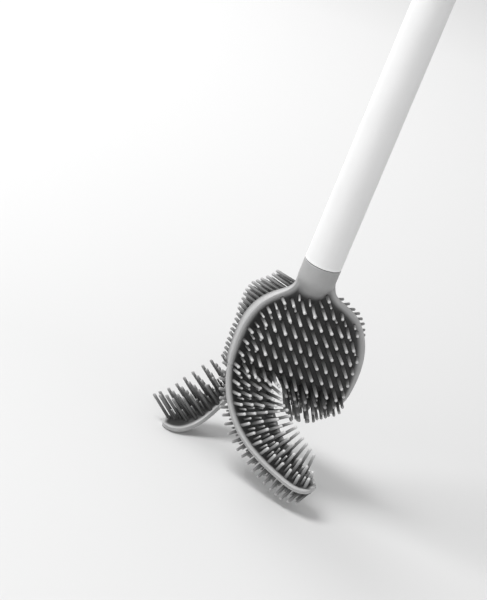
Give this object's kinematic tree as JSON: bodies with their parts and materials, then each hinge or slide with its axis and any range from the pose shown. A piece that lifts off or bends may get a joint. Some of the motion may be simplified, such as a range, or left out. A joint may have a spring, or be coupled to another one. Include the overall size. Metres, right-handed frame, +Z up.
{
  "type": "toilet brush",
  "caption": "Flexible toilet brush: a round white plastic handle and a push-in soft grey rubber head, an oval bristled pad slit into two leaves that curl apart and flex",
  "frame": {"origin": "on the handle's axis at its lower end, where it meets the collar of the head; the mount handle_grip has its position there", "axes": "+Z runs up the handle towards the hanging hole; the pad's front face looks towards -Y; the pad's width runs along X, with the front leaf's root on the -X side"},
  "size_m": [0.0911, 0.0907, 0.4061],
  "materials": {
    "handle_plastic": "satin white moulded plastic",
    "core_plastic": "plain moulded plastic, off-white",
    "head_rubber": "soft mid-grey silicone-like rubber, satin, slightly waxy"
  },
  "bodies": {
    "handle": {"handle_tube": "handle_plastic", "handle_end_cap": "handle_plastic", "handle_socket": "core_plastic"},
    "head": {"head_core": "core_plastic", "head_pad": "head_rubber", "pad_bristles_front": "head_rubber", "pad_bristles_back": "head_rubber"},
    "front_leaf": {"front_leaf": "head_rubber", "front_leaf_bristles_upper": "head_rubber", "front_leaf_bristles_lower": "head_rubber"},
    "rear_leaf": {"rear_leaf": "head_rubber", "rear_leaf_bristles_upper": "head_rubber", "rear_leaf_bristles_lower": "head_rubber"}
  },
  "joints": [
    {"name": "head_release", "type": "slide", "parent": "handle", "child": "head", "axis": [0, 0, -1], "range_m": [0, 0.032]},
    {"name": "front_leaf_flex", "type": "hinge", "parent": "head", "child": "front_leaf", "pos_m": [-0.016, 0, -0.0741], "axis": [1, 0, 0], "range_deg": [-10, 15], "stiffness_Nm_per_rad": 0.08},
    {"name": "rear_leaf_flex", "type": "hinge", "parent": "head", "child": "rear_leaf", "pos_m": [0.0215, 0, -0.0741], "axis": [-1, 0, 0], "range_deg": [-10, 15], "stiffness_Nm_per_rad": 0.08}
  ]
}
